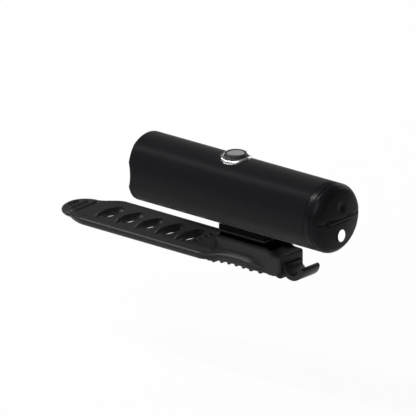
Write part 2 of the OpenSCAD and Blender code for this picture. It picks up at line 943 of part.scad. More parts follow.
// Plan of the cradle block, with round upright corners at the rear.
module block_plan() {
    translate([block_back + block_corner, -block_w / 2])
        square([block_len - block_corner, block_w]);
    translate([block_back, -block_w / 2 + block_corner])
        square([block_len, block_w - 2 * block_corner]);
    for (side = [-1, 1])
        translate([block_back + block_corner, side * (block_w / 2 - block_corner)])
            circle(r = block_corner);
}

// Strap's cross-section: two round edge beads and a thinner web, dished by a depth, in Y and height.
module strap_section(dish) {
    translate([-strap_w / 2 + bead_r, strap_h + web_lift])
        square([strap_w - 2 * bead_r, strap_t - dish - web_lift]);
    for (side = [-1, 1])
        translate([side * (strap_w / 2 - bead_r), strap_h + bead_r])
            circle(r = bead_r);
}

// Stretch of plain strap between two places along X, its web dished by a depth.
module strap_run(from, to, dish) {
    translate([from, 0, 0])
        rotate([90, 0, 90])
            linear_extrude(height = to - from)
                strap_section(dish);
}

// Lens-shaped slot through the strap, bevelled at its top.
module slot_cut(x) {
    reach = slot_r - slot_w / 2;
    intersection_for(side = [-1, 1])
        translate([x + side * reach, 0, strap_h - over]) {
            cylinder(r = slot_r, h = strap_t + 2 * over);
            translate([0, 0, dish_top - strap_h + over - 2 * slot_bevel])
                cylinder(r1 = slot_r, r2 = slot_r + 2 * slot_bevel, h = 4 * slot_bevel);
        }
}

module strap_cradle() {
    color("#2a2b2d")
        difference() {
            union() {
                intersection() {
                    upright()
                        block_plan();
                    across(block_w)
                        block_profile();
                }
                intersection() {
                    union() {
                        strap_run(pad_front - rib_pitch, block_front, 0);
                        across(strap_w)
                            flange_profile();
                        across(rib_len)
                            for (i = [0 : rib_n - 1])
                                translate([0, -arch_r])
                                    rotate(((rib_n - 1) / 2 - i) * rib_turn)
                                        translate([0, arch_r])
                                            rib_profile();
                    }
                    upright()
                        flare_plan();
                }
            }
            block([cavity_back, -cavity_w / 2, plate_under], [cavity_front, cavity_w / 2, axis_h]);
            block(
                [block_back - over, -plate_w / 2 - slip, plate_under],
                [0, plate_w / 2 + slip, plate_top + slip]
            );
            bracket_screw_posts(screw_head_d + 2 * slip, plate_under - screw_sunk - slip, axis_h);
        }
}

// One rib under the cradle: a flat tip with sloping flanks.
module rib_profile() {
    polygon([[-rib_w / 4, 0], [rib_w / 4, 0], [rib_w / 2, rib_h + bite], [-rib_w / 2, rib_h + bite]]);
}

// Plan of the cradle's foot.
module flare_plan() {
    for (side = [-1, 1])
        polygon(concat([[block_front, 0]], [for (p = flare_edge) [p[0], side * p[1]]], [[fade_back, 0]]));
}

// Raises a plan to more than the bracket's full height.
module upright() {
    translate([0, 0, -wall_top])
        linear_extrude(height = 2 * wall_top)
            children();
}

module strap_span(i) {
    color("#2a2b2d")
        difference() {
            union() {
                if (i < slot_n)
                    strap_run(bends[i], bends[i + 1], strap_dish);
                else
                    strap_end();
                if (i == 0) {
                    strap_run(bends[0], bends[0] + root_len, 0);
                    for (j = [0 : stud_n - 1])
                        translate([stud_x, (j - (stud_n - 1) / 2) * stud_pitch, dish_top - slip])
                            cylinder(d1 = stud_d, d2 = stud_d / 2, h = stud_h + slip);
                }
            }
            if (i > 0)
                slot_cut(slot_xs[i - 1]);
        }
}

// Plan of the pull tip, sweeping in from the strap's full width to a round end.
module tip_plan() {
    polygon(concat(
        [[bends[slot_n], -strap_w / 2]],
        [for (p = sweep_edge) [p[0], -p[1]]],
        [for (i = [sweep_steps : -1 : 0]) sweep_edge[i]],
        [[bends[slot_n], strap_w / 2]]
    ));
    translate([tip_x - tip_r, 0])
        circle(r = tip_r);
}

// Last stretch of the strap with its grooved pull tip.
module strap_end() {
    difference() {
        intersection() {
            union() {
                strap_run(bends[slot_n], shoulder_x + sweep_len / 2, strap_dish);
                block(
                    [bends[slot_n], -strap_w / 2 + bead_r, strap_h + web_lift],
                    [tip_x, strap_w / 2 - bead_r, dish_top]
                );
            }
            upright()
                tip_plan();
        }
        for (i = [0 : grip_n - 1])
            translate([grip_x + i * grip_pitch, 0, dish_top - grip_deep])
                translate([-grip_w / 2, grip_edge + i * grip_step - tip_r, 0])
                    cube([grip_w, 2 * (tip_r - grip_edge - i * grip_step), strap_t]);
    }
}

housing_tube();
lens_ring();
front_lens();
lens_gasket();
reflector();
led_board();
led_emitters();
heat_sink();
inner_chassis();
battery_cell();
cell_tabs();
cell_pad();
driver_board();
switch_body();
switch_plunger();
button_ring();
button_boot();
button_cap();
rear_cap();
rear_seal();
cap_screws();
port_cover();
usb_socket();
rear_board();
indicator_led();
indicator_lens();
mount_foot();
bracket_frame();
bracket_screws();
strap_cradle();
strap_span(0);  // strap_span_1
strap_span(1);  // strap_span_2
strap_span(2);  // strap_span_3
strap_span(3);  // strap_span_4
strap_span(4);  // strap_span_5
strap_span(5);  // strap_span_6
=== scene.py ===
"""Handlebar headlight: a round black lamp on a slotted rubber strap mount, dressed for a studio picture."""
import math

import bmesh
import bpy
import numpy as np
from mathutils import Matrix, Vector


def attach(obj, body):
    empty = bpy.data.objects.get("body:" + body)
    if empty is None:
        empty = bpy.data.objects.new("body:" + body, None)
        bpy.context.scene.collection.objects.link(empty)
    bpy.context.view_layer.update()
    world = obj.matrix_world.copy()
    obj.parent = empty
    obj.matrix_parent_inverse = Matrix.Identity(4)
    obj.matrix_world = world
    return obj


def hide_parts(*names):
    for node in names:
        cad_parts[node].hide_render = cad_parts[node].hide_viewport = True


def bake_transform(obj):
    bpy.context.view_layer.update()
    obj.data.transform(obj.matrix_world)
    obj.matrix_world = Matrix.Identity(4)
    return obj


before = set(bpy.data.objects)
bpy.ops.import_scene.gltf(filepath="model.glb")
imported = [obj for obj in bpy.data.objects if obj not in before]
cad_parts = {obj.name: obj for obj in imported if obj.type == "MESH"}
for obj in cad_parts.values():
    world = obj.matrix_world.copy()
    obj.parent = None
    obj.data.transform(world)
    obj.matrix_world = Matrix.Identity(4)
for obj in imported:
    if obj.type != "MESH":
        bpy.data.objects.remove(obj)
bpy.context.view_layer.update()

MM = 0.001
SMOOTH_ANGLE = 38.0

# Lamp: places along X and heights, in millimetres, as in the solids
AXIS_Z = 32.1
TUBE_R = 17.0
BUTTON_X = 9.1
BUTTON_Z = AXIS_Z + TUBE_R
LIP_X, LIP_HALF, LIP_Z = 14.1, 6.7, 13.2
LIP_CORNER = 0.8
WINDOW_Z = 24.5
WINDOW_HALF_Y, WINDOW_HALF_Z = 2.55, 3.0
# The indicator's window glows white by emission though it is not lit: painted light.
WINDOW_PAINTED_GLOW = 0.7

# Rear cap and its port cover
TUBE_END = -46.7
CAP_END = 9.9
DOME_R = 52.28
COVER_SEAT = 7.2
SHOULDER = ((TUBE_R, 4.15), (TUBE_R, 5.8), (15.69, 7.11), (14.3, 7.93))
SHOULDER_IN = [[14.4, 6.4], [16.3, 4.2]]
SHOULDER_SPLIT = 0.8
FLAP_Z = 32.6
FLAP_R = 15.35
FLAP_ROUND = 2.6
FLAP_PROUD = 0.3
FLAP_FALL, FALL_RUN = 0.45, 1.6
DENT_Z = 38.6
DENT_R = 3.6
DENT_DEEP = 0.75
HINGE_Z = 32.3
ROLL_DEPTH = 9.1
ROLL_R = 1.15
ROLL_HALF = 9.3
ROLL_ROUND = 0.5

# Strap: a web with round beads along its edges, slots with rounded rims, and a grooved pull tip
STRAP_HALF = 16.7
STRAP_LOW = -0.45
STRAP_TOP = 3.4
BEAD_R = (STRAP_TOP - STRAP_LOW) / 2
BEAD_Z = (STRAP_TOP + STRAP_LOW) / 2
BEAD_FADE = 2.0
WEB_TOP = 2.9
WEB_LOW = -0.3
ROOT_SEAM = 25.7
ROOT_END = 29.3
ROOT_STEP = 0.8
STUD_X = 30.9
STUD_COUNT = 5
STUD_PITCH = 4.0
STUD_R, STUD_TALL = 1.05, 0.7
SLOT_X = [38.3, 50.8, 63.3, 75.8, 88.3]
RIM_HALF, RIM_REACH = 4.8, 9.8
MOUTH_HALF, MOUTH_REACH = 2.4, 5.4
MOUTH_SKIN = 0.25
RIM_ACROSS, RIM_DOWN = 0.22, 0.2
WALL_CURVE, BOWL_CURVE = 1.9, 2.2
TIP_X = 115.5
TIP_HALF = 11.5
TIP_MID = TIP_X - TIP_HALF
TIP_CUT = 93.8
TIP_EDGE = 1.3
TIP_LOW = -0.55
TIP_DROP = 0.3
TIP_FADE = 0.3
SWEEP_START = 91.0
SINK_START, SINK_RUN = 3.0, 12.0
GROOVES = [(103.2, 9.0), (107.0, 7.2), (110.8, 4.8)]
GROOVE_HALF, GROOVE_FLANK = 1.35, 0.7
GROOVE_OVER, GROOVE_RUN = 0.7, 2.4
GROOVE_DEEP = 1.0

# Cradle: a walled tub on an arched, flanged foot with ribs
BLOCK_FRONT = 19.3
BLOCK_BACK = -25.7
TUB_FRONT = 16.8
TUB_HALF = 8.9
TUB_WALL = 1.9
TUB_CORNER, REAR_CORNER = 4.5, 1.3
WALL_TOP = 10.9
WALL_ROUND, INNER_ROUND = 1.4, 0.45
WALL_FOOT = 0.9
REAR_TOP = 8.8
REAR_LOW = 3.7
REAR_HALF = 7.1
TOP_FROM, TOP_RUN = -21.4, 5.6
HOLLOW_R, HOLLOW_ROOM = 1.7, 2.6
HOLLOW_FRONT = 2.45
FLANGE_HALF = 12.1
FLANGE_FROM, FLANGE_RUN = -19.5, 12.0
FLANGE_INSET = 0.35
SWELL_FROM, SWELL_RUN = 9.2, 10.0
BEAD_FROM, BEAD_RUN = 10.6, 8.6
EDGE_TOP, EDGE_SPAN = 2.25, 150.0
EDGE_R, EDGE_R_REAR = 1.85, 0.5
EDGE_UNDER = 1.2
LEAN, LEAN_FROM, LEAN_RUN = 34.0, 3.0, 15.5
ARCH_TOP, ARCH_SPAN = -0.15, 190.0
ARCH_FRONT = 14.6
HEEL_X, HEEL_RISE = -21.4, 0.4
RIB_PITCH = 4.5
RIB_HALF = 12.0
RIB_TIP, RIB_FLANK = 1.12, 0.7
RIB_REACH = 3.4
BLOCK_LOW = -1.9

# Stage and camera: the floor in millimetres, the lights' aim in metres, angles in degrees
FLOOR_Z = -60.0
FLOOR_HALF = 4000.0
LIGHT_AIM = (0.0, 0.0, 0.02)
CAMERA_AIM = (26.6, 0.0, 19.2)
AZIMUTH, ELEVATION = 220.5, 19.6
LENS, SENSOR = 1200.0, 36.0
PHOTO_PX, PX_PER_MM = 416, 2.1


def step(t):
    """Smooth step: 0 below 0, 1 above 1, and 3t^2 - 2t^3 between."""
    t = np.clip(t, 0.0, 1.0)
    return t * t * (3 - 2 * t)


def mix(a, b, t):
    """Straight mix from a at t = 0 to b at t = 1."""
    return a + (b - a) * t


def mesh_piece(name, points, faces, angle=SMOOTH_ANGLE):
    """Makes an object from points in millimetres and faces, welded and with its faces turned outward."""
    mesh = bpy.data.meshes.new(name)
    mesh.from_pydata((np.asarray(points, float) * MM).tolist(), [], np.asarray(faces, int).tolist())
    work = bmesh.new()
    work.from_mesh(mesh)
    bmesh.ops.remove_doubles(work, verts=work.verts, dist=2e-6)
    bmesh.ops.dissolve_degenerate(work, edges=work.edges, dist=1e-6)
    bmesh.ops.recalc_face_normals(work, faces=work.faces)
    work.to_mesh(mesh)
    work.free()
    mesh.shade_smooth()
    mesh.set_sharp_from_angle(angle=math.radians(angle))
    piece = bpy.data.objects.new(name, mesh)
    bpy.context.scene.collection.objects.link(piece)
    return piece


def grid_faces(rows, cols, wrap_rows=False, wrap_cols=False):
    """Quads of a grid of rows by cols points, closed round either way where asked."""
    i = np.arange(rows if wrap_rows else rows - 1)[:, None]
    j = np.arange(cols if wrap_cols else cols - 1)[None, :]
    i2, j2 = (i + 1) % rows, (j + 1) % cols
    quads = np.stack([i * cols + j, i * cols + j2, i2 * cols + j2, i2 * cols + j], axis=-1)
    return quads.reshape(-1, 4)


def grid_piece(name, grid, wrap_rows=False, wrap_cols=False, angle=SMOOTH_ANGLE):
    """Makes an object from a grid of points, shaped rows by cols by 3."""
    rows, cols = grid.shape[:2]
    return mesh_piece(name, grid.reshape(-1, 3), grid_faces(rows, cols, wrap_rows, wrap_cols), angle)


def joined_piece(name, parts, angle=SMOOTH_ANGLE):
    """Joins several grids, each with its own closing, into one object."""
    points, faces, first = [], [], 0
    for grid, wrap_rows, wrap_cols in parts:
        rows, cols = grid.shape[:2]
        points.append(grid.reshape(-1, 3))
        faces.append(grid_faces(rows, cols, wrap_rows, wrap_cols) + first)
        first += rows * cols
    return mesh_piece(name, np.concatenate(points), np.concatenate(faces), angle)


def arc(cx, cy, rx, ry, start, stop, count):
    """Points of an ellipse's arc between two angles in degrees."""
    a = np.radians(np.linspace(start, stop, count))
    return np.stack([cx + rx * np.cos(a), cy + ry * np.sin(a)], axis=-1)


def turned(profile, axis_point, up, side, ahead, count):
    """Turns a profile of (radius, height) about an axis through axis_point along up."""
    profile = np.asarray(profile, float)
    a = np.linspace(0, 2 * np.pi, count, endpoint=False)
    ring = np.cos(a)[:, None] * np.asarray(side, float) + np.sin(a)[:, None] * np.asarray(ahead, float)
    return (np.asarray(axis_point, float)
            + profile[None, :, :1] * ring[:, None, :]
            + profile[None, :, 1:] * np.asarray(up, float))


# Strap


def edge_faces(d, round_r, round_z, top, low, fade):
    """Heights of a strap's top and underside at a distance d from its edge.

    Within the edge's radius both follow its half circle; further in they fall off smoothly to the web.
    """
    inside = np.clip(d, 0, round_r)
    rise = np.sqrt(np.clip(round_r ** 2 - (round_r - inside) ** 2, 0, None))
    sunk = step((d - round_r) / fade)
    return (mix(round_z + rise, top + 0 * rise, sunk), mix(round_z - rise, low + 0 * rise, sunk))


def strap_faces(x, d):
    """Strap's two faces: dished between the beads, but flush with them on the thicker root."""
    web = mix(WEB_TOP, STRAP_TOP, step((ROOT_END - x) / ROOT_STEP + 0.5))
    return edge_faces(d, BEAD_R, BEAD_Z, web, WEB_LOW, BEAD_FADE)


def strap_rows():
    """Places across the strap: even over the web, crowded at the slots' ends and on the edge beads."""
    web = np.linspace(0, MOUTH_REACH - 0.6, 20)
    ends = np.linspace(MOUTH_REACH - 0.6, RIM_REACH + 0.1, 26)
    inner = np.linspace(RIM_REACH + 0.1, STRAP_HALF - BEAD_R, 18)
    bead = STRAP_HALF - BEAD_R + BEAD_R * np.sin(np.radians(np.linspace(0, 90, 15)))
    half = np.unique(np.concatenate([web, ends, inner, bead]).round(6))
    return np.concatenate([-half[:0:-1], half])[:, None]


def slot_wall():
    """Shape of a slot's wall from rim to mouth: a rounded rim, a steep drop, then a hollow run-out."""
    q = np.radians(np.linspace(0, 90, 8))
    t = np.linspace(0, 1, 9)[1:]
    across = np.concatenate([RIM_ACROSS * np.sin(q), mix(RIM_ACROSS, 1.0, t ** WALL_CURVE)])
    down = np.concatenate([RIM_DOWN * (1 - np.cos(q)), mix(RIM_DOWN, 1.0, 1 - (1 - t) ** BOWL_CURVE)])
    return across[None, :], down[None, :]


def slot_end(y, slot_x, side, top, low):
    """End of each row at a slot's wall: rim and mouth are ellipses; the bowl is shallower past the mouth."""
    wide = np.abs(y)
    rim = RIM_HALF * np.sqrt(np.clip(1 - (wide / RIM_REACH) ** 2, 0, None))
    mouth = MOUTH_HALF * np.sqrt(np.clip(1 - (wide / MOUTH_REACH) ** 2, 0, None))
    past = np.clip((wide - MOUTH_REACH) / (RIM_REACH - MOUTH_REACH), 0, 1)
    deep = (top - low - MOUTH_SKIN) * np.sqrt(1 - past ** 2)
    across, down = slot_wall()
    x = slot_x - side * (rim - (rim - mouth) * across)
    z = top - deep * down
    return np.concatenate([x, x[:, -1:]], axis=1), np.concatenate([z, low + 0 * y], axis=1)


def cut_end(y, x, top, low):
    """End of each row at a plain cut across the strap."""
    t = np.linspace(0, 1, 8)[None, :]
    return x + 0 * y * t, mix(top, low, t)


def rows_piece(y, end_a, end_b, faces_at, along):
    """Closed loops in X and Z, one per row: along the top, down an end, back underneath and up again."""
    t = np.linspace(0, 1, along)[None, 1:-1]
    x_top = mix(end_a[0][:, :1], end_b[0][:, :1], t)
    x_low = mix(end_b[0][:, -1:], end_a[0][:, -1:], t)
    x = np.concatenate([x_top, end_b[0], x_low, end_a[0][:, ::-1]], axis=1)
    z = np.concatenate([faces_at(x_top)[0], end_b[1], faces_at(x_low)[1], end_a[1][:, ::-1]], axis=1)
    return np.stack([x, y + 0 * x, z], axis=-1)


def strap_stretch(name, x_from, x_to, slot_from, slot_to, along=60):
    """A stretch of strap between two cuts across it, each a plain cut or the middle of a slot."""
    y = strap_rows()
    d = STRAP_HALF - np.abs(y)

    def faces_at(x):
        return strap_faces(x, d + 0 * x)

    def end_at(x, slotted, side):
        top, low = faces_at(x + side * -RIM_HALF * slotted + 0 * y)
        return slot_end(y, x, side, top, low) if slotted else cut_end(y, x, top, low)

    grid = rows_piece(y, end_at(x_from, slot_from, -1), end_at(x_to, slot_to, 1), faces_at, along)
    return grid_piece(name, grid, wrap_cols=True)


def tip_half(x):
    """Half width of the strap's end: a quarter cosine down to the tip's, then the tip's half circle."""
    t = np.clip((x - SWEEP_START) / (TIP_MID - SWEEP_START), 0, 1)
    sweep = TIP_HALF + (STRAP_HALF - TIP_HALF) * np.cos(np.pi / 2 * t)
    round_end = np.sqrt(np.clip(TIP_HALF ** 2 - (x - TIP_MID) ** 2, 0, None))
    return np.where(x > TIP_MID, round_end, sweep)


def tip_faces(x, y):
    """Faces of the strap's end: the beads sink into a flat tip with rounded edges and pressed grooves.

    The distance to the outline is taken square to the sweep, and radially round the tip.
    """
    places = np.linspace(SLOT_X[-1], TIP_MID, 90)
    slope = np.gradient(tip_half(places), places) * step((TIP_MID - places) / 3)
    lean = np.interp(x, places, slope)
    square = (tip_half(x) - np.abs(y)) / np.hypot(1, lean)
    radial = TIP_HALF - np.hypot(x - TIP_MID, y)
    d = np.clip(np.where(x > TIP_MID, radial, square), 0, None)
    bead_top, bead_low = strap_faces(x, d)
    flat_top, flat_low = edge_faces(d, TIP_EDGE, TIP_LOW + TIP_EDGE, WEB_TOP - TIP_DROP, TIP_LOW, TIP_FADE)
    sunk = step((x - SLOT_X[-1] - SINK_START) / SINK_RUN)
    top, low = mix(bead_top, flat_top, sunk), mix(bead_low, flat_low, sunk)
    for place, reach in GROOVES:
        along = step((GROOVE_HALF - np.abs(x - place)) / GROOVE_FLANK)
        across = step((reach + GROOVE_OVER - np.abs(y)) / GROOVE_RUN)
        top = top - GROOVE_DEEP * along * across
    return top, low


def strap_tip(name):
    """The strap's end in two parts: rows along X behind the last slot, then sections across the tip."""
    y0 = strap_rows()

    def y_at(x):
        beyond = (np.abs(y0) - RIM_REACH) / (STRAP_HALF - BEAD_R - RIM_REACH)
        narrow = (STRAP_HALF - tip_half(x)) * step(beyond)
        return y0 - np.sign(y0) * narrow

    def faces_at(x):
        return tip_faces(x, y_at(x))

    top, low = faces_at(SLOT_X[-1] + RIM_HALF + 0 * y0)
    start = slot_end(y0, SLOT_X[-1], -1, top, low)
    top, low = faces_at(TIP_CUT + 0 * y0)
    rear = rows_piece(y0, start, cut_end(y0, TIP_CUT, top, low), faces_at, 24)
    rear[:, :, 1] = y_at(rear[:, :, 0])

    body = np.arange(TIP_CUT, TIP_MID + 2, 0.22)
    turn = np.arcsin((body[-1] - TIP_MID) / TIP_HALF)
    x = np.concatenate([body, TIP_MID + TIP_HALF * np.sin(np.linspace(turn, np.pi / 2, 44))[1:]])[:, None]
    u = np.sin(np.linspace(-np.pi / 2, np.pi / 2, 81))[None, :]
    y = tip_half(x) * u
    top, low = tip_faces(x + 0 * y, y)
    xs = x + 0 * np.concatenate([y, y], axis=1)
    front = np.stack([xs, np.concatenate([y, y[:, ::-1]], axis=1),
                      np.concatenate([top, low[:, ::-1]], axis=1)], axis=-1)
    flat = front[:1] * np.array([1.0, 0.0, 0.0]) + np.array([0.0, 0.0, BEAD_Z])
    return joined_piece(name, [(rear, False, True), (np.concatenate([flat, front]), False, True)])


def grip_studs(name):
    """Row of small round-topped studs across the strap in front of its root, each a turned dome."""
    profile = np.concatenate([[[STUD_R + 0.1, -0.3]], arc(0.0, 0.0, STUD_R, STUD_TALL, 0, 90, 8)])
    profile[-1, 0] = 0
    parts = []
    for k in range(STUD_COUNT):
        place = (STUD_X, (k - (STUD_COUNT - 1) / 2) * STUD_PITCH, WEB_TOP)
        parts.append((turned(profile, place, (0, 0, 1), (1, 0, 0), (0, 1, 0), 28), True, False))
    return joined_piece(name, parts, 60)


# Cradle


def flange_share(x):
    """How far the flange has grown out of the tub's wall: 0 at the rear, 1 in front."""
    return step((x - FLANGE_FROM) / FLANGE_RUN)


def bead_share(x):
    """How far the foot's edge has turned into the strap's bead: 0 on the flange, 1 on the strap."""
    return step((x - BEAD_FROM) / BEAD_RUN)


def foot_half(x):
    """Half width of the cradle's foot: the strap's, a soft cosine S to the flange's, then the wall's."""
    swell = 0.5 - 0.5 * np.cos(np.pi * np.clip((x - SWELL_FROM) / SWELL_RUN, 0, 1))
    return mix(TUB_HALF - FLANGE_INSET, mix(FLANGE_HALF, STRAP_HALF, swell), flange_share(x))


def foot_low(x):
    """Underside of the foot: a parabola's arch, rising at the heel, and the strap's web in front."""
    arch = np.maximum(ARCH_TOP - x ** 2 / ARCH_SPAN, BLOCK_LOW) + HEEL_RISE * np.clip(HEEL_X - x, 0, None)
    return mix(arch, WEB_LOW + 0 * x, step(x - ARCH_FRONT))


def edge_round(x):
    """Centre height and radius of the upper round on the foot's edge, which runs into the strap's bead."""
    centre = mix(EDGE_TOP - x ** 2 / EDGE_SPAN, BEAD_Z + 0 * x, bead_share(x))
    radius = mix(mix(EDGE_R_REAR, EDGE_R, flange_share(x)), BEAD_R, bead_share(x))
    return centre, radius


def edge_lean(x):
    """Lean of the slope above the edge's round, in radians: it falls smoothly to none on the strap."""
    return np.radians(LEAN * (1 - step((x - LEAN_FROM) / LEAN_RUN)))


def slope_height(x, y):
    """Height of the slope that falls from the tub's wall to the flange's edge, at a place across."""
    centre, radius = edge_round(x)
    lean = edge_lean(x)
    edge = foot_half(x) - radius * (1 - np.sin(lean))
    return centre + radius * np.cos(lean) + np.tan(lean) * (edge - y)


def rib_press(x):
    """Ribs along the arched seat: 1 on a rib's tip and 0 between, with sloping flanks."""
    off = np.abs(x / RIB_PITCH - np.round(x / RIB_PITCH)) * RIB_PITCH
    return step((RIB_TIP - off) / RIB_FLANK) * (np.abs(x) < RIB_REACH * RIB_PITCH)


def cradle_foot():
    """Foot of the cradle: closed sections along X, over the ribs, the round edge and the slope."""
    x = np.concatenate([np.linspace(BLOCK_FRONT, 14.0, 30), np.linspace(13.9, -16.0, 230),
                        np.linspace(-16.2, BLOCK_BACK + 0.3, 30)])[:, None]
    half, low, lean = foot_half(x), foot_low(x), edge_lean(x)
    centre, r_top = edge_round(x)
    strap = bead_share(x)
    edge_low = mix(low, STRAP_LOW + 0 * x, strap)
    r_low = np.minimum(mix(EDGE_UNDER, BEAD_R, strap), centre - edge_low)
    t = np.linspace(0, 1, 48)[None, :] ** 0.75
    inset = half - r_low - 0.02
    y_low = inset * t
    z_low = mix(low + 0 * t, edge_low, step((y_low - inset + BEAD_FADE) / BEAD_FADE) * strap)
    press = rib_press(x) * step((np.minimum(RIB_HALF, half - 0.2) - y_low) / 0.5)
    z_low = z_low - press
    a = np.radians(np.linspace(-90, 0, 12))[None, :]
    y_side = half - r_low + r_low * np.cos(a)
    z_side = edge_low + r_low + r_low * np.sin(a)
    b = np.linspace(0, 1, 14)[None, :] * (np.pi / 2 - lean)
    y_over = half - r_top + r_top * np.cos(b)
    z_over = centre + r_top * np.sin(b)
    s = np.linspace(0, 1, 8)[None, 1:]
    behind = x < TUB_FRONT - 1
    y_top = mix(y_over[:, -1:], np.where(behind, TUB_HALF - 1.0, 0.0), s)
    z_top = np.where(behind, slope_height(x, y_top), z_over[:, -1:])
    y_in = np.concatenate([y_top[:, -1:], 0 * x], axis=1)
    z_in = np.where(behind, 2.0 + 0 * y_in, z_over[:, -1:])
    y = np.concatenate([y_low, y_side, y_over, y_top, y_in], axis=1)
    z = np.concatenate([z_low, z_side, z_over, z_top, z_in], axis=1)
    y = np.concatenate([y, -y[:, ::-1]], axis=1)
    z = np.concatenate([z, z[:, ::-1]], axis=1)
    body = np.stack([x + 0 * y, y, z], axis=-1)
    flat = np.array([1.0, 0.0, 0.0])
    lift = np.array([0.0, 0.0, 1.0])
    return np.concatenate([body[:1] * flat + lift, body, body[-1:] * flat + lift])


def wall_path(front, back, half, corner_front, corner_rear):
    """Round-cornered rectangle in plan, as points with outward directions."""
    def side(x0, y0, x1, y1, nx, ny, count):
        t = np.linspace(0, 1, count, endpoint=False)[:, None]
        return np.concatenate([mix(x0, x1, t), mix(y0, y1, t), nx + 0 * t, ny + 0 * t], axis=1)

    def corner(cx, cy, r, start, count):
        a = np.radians(np.linspace(start, start + 90, count, endpoint=False))
        return np.stack([cx + r * np.cos(a), cy + r * np.sin(a), np.cos(a), np.sin(a)], axis=1)

    f, b, h = front, back, half
    cf, cb = corner_front, corner_rear
    return np.concatenate([
        side(f, -(h - cf), f, h - cf, 1, 0, 8), corner(f - cf, h - cf, cf, 0, 18),
        side(f - cf, h, b + cb, h, 0, 1, 130), corner(b + cb, h - cb, cb, 90, 14),
        side(b, h - cb, b, -(h - cb), -1, 0, 14), corner(b + cb, -(h - cb), cb, 180, 14),
        side(b + cb, -h, f - cf, -h, 0, -1, 130), corner(f - cf, -(h - cf), cf, 270, 18),
    ])


def cradle_tub():
    """Walls of the cradle: a section carried round the outline.

    From inside out: the inner edge, the rounded top, the wall, a hollow round on to the flange and the
    rounded bottom edge. The top slopes down to the rear, and the rear wall stands over the bracket's plate.
    """
    path = wall_path(TUB_FRONT, BLOCK_BACK, TUB_HALF, TUB_CORNER, REAR_CORNER)
    x, y, nx, ny = (path[:, k:k + 1] for k in range(4))
    fade = flange_share(x)
    ahead = np.clip(nx, 0, 1)
    lean = mix(edge_lean(x), 0, ahead)
    room = foot_half(x) - edge_round(x)[1] * (1 - np.sin(lean)) - TUB_HALF
    hollow = mix(HOLLOW_R * step(room / HOLLOW_ROOM) + 0.01, HOLLOW_FRONT, ahead)
    reach = hollow * (1 - np.sin(lean))
    shelf = mix(slope_height(x, TUB_HALF + reach), STRAP_TOP, ahead) - 0.02
    rise = hollow * np.cos(lean)
    top = mix(REAR_TOP, WALL_TOP, step((x - TOP_FROM) / TOP_RUN))
    rear = np.clip(-nx, 0, 1) * (np.abs(y) < REAR_HALF)
    under = mix(np.maximum(foot_low(x), BLOCK_LOW) + 0.5 * fade, REAR_LOW + 0 * x, rear)
    lip, edge, foot = WALL_ROUND, INNER_ROUND, WALL_FOOT
    q = np.radians(np.linspace(0, 90, 8))[None, :]
    g = np.linspace(0, 1, 12)[None, :] * (np.pi / 2 - lean)
    n = [-TUB_WALL + edge - edge * np.cos(q), -lip + lip * np.sin(q), np.zeros((1, 10)),
         hollow * (1 - np.cos(g)), reach, -0.8 * fade - foot * (1 - np.cos(q)), -TUB_WALL + 0 * x]
    z = [top - edge + edge * np.sin(q), top - lip + lip * np.cos(q),
         mix(top - lip, shelf + rise, np.linspace(0.1, 1, 10)[None, :]), shelf + rise - hollow * np.sin(g),
         shelf - 0.5 * fade, under + foot * (1 - np.sin(q)), under]
    n = np.concatenate([np.broadcast_to(k, (len(path), k.shape[1])) for k in n], axis=1)
    z = np.concatenate([np.broadcast_to(k, (len(path), k.shape[1])) for k in z], axis=1)
    return np.stack([x + nx * n, y + ny * n, z], axis=-1)


def cradle(name):
    """The cradle that holds the lamp's foot: an arched, ribbed foot with the tub's walls on it."""
    return joined_piece(name, [(cradle_foot(), False, True), (cradle_tub(), True, True)], 40)


def foot_lip(name):
    """Thin rounded lip round the lamp's foot, just under the tube: a half circle carried round the foot."""
    path = wall_path(LIP_X, -LIP_X, LIP_HALF, LIP_CORNER, LIP_CORNER)
    x, y, nx, ny = (path[:, k:k + 1] for k in range(4))
    section = np.concatenate([[[-0.6, -0.5]], arc(0.0, 0.0, 0.45, 0.5, -90, 90, 11), [[-0.6, 0.5]]])
    n, rise = section[None, :, 0], section[None, :, 1]
    grid = np.stack([x + nx * n, y + ny * n, LIP_Z + rise + 0 * x], axis=-1)
    return grid_piece(name, grid, wrap_rows=True, wrap_cols=True)


# Rear cap: radius and depth are about the tube's axis and behind the tube's end


def dome_depth(r):
    """Depth of the cap's domed face at a radius, a sphere's cap."""
    return CAP_END - DOME_R + np.sqrt(DOME_R ** 2 - r ** 2)


def swept(loop, start, stop, count):
    """Carries a closed loop of (radius, depth) round the tube's axis between two angles; closes both ends."""
    a = np.radians(np.linspace(start, stop, count))[:, None]
    r, depth = loop[None, :, 0], loop[None, :, 1]
    grid = np.stack([TUBE_END - depth + 0 * a, r * np.cos(a), AXIS_Z + r * np.sin(a)], axis=-1)
    return closed_ends(grid)


def closed_ends(grid):
    """Adds a row at each end of a grid, with all its points at the end loop's middle."""
    ends = [np.broadcast_to(grid[k].mean(axis=0), grid[k].shape)[None] for k in (0, -1)]
    return np.concatenate([ends[0], grid, ends[1]])


def cap_shoulder(name):
    """Rounded shoulder of the cap: a cubic curve from the band to the face, or to the cover's seat above."""
    t = np.linspace(0, 1, 40)[:, None]
    knots = [np.array(p) for p in SHOULDER]
    curve = ((1 - t) ** 3 * knots[0] + 3 * (1 - t) ** 2 * t * knots[1]
             + 3 * (1 - t) * t ** 2 * knots[2] + t ** 3 * knots[3])
    under = curve[curve[:, 1] < COVER_SEAT]
    lower = np.concatenate([curve, [[13.9, 7.5]], SHOULDER_IN])
    upper = np.concatenate([under, [[14.5, COVER_SEAT - 0.05]], SHOULDER_IN])
    below = swept(lower, 180 - SHOULDER_SPLIT, 360 + SHOULDER_SPLIT, 121)
    above = swept(upper, SHOULDER_SPLIT, 180 - SHOULDER_SPLIT, 121)
    return joined_piece(name, [(below, False, True), (above, False, True)])


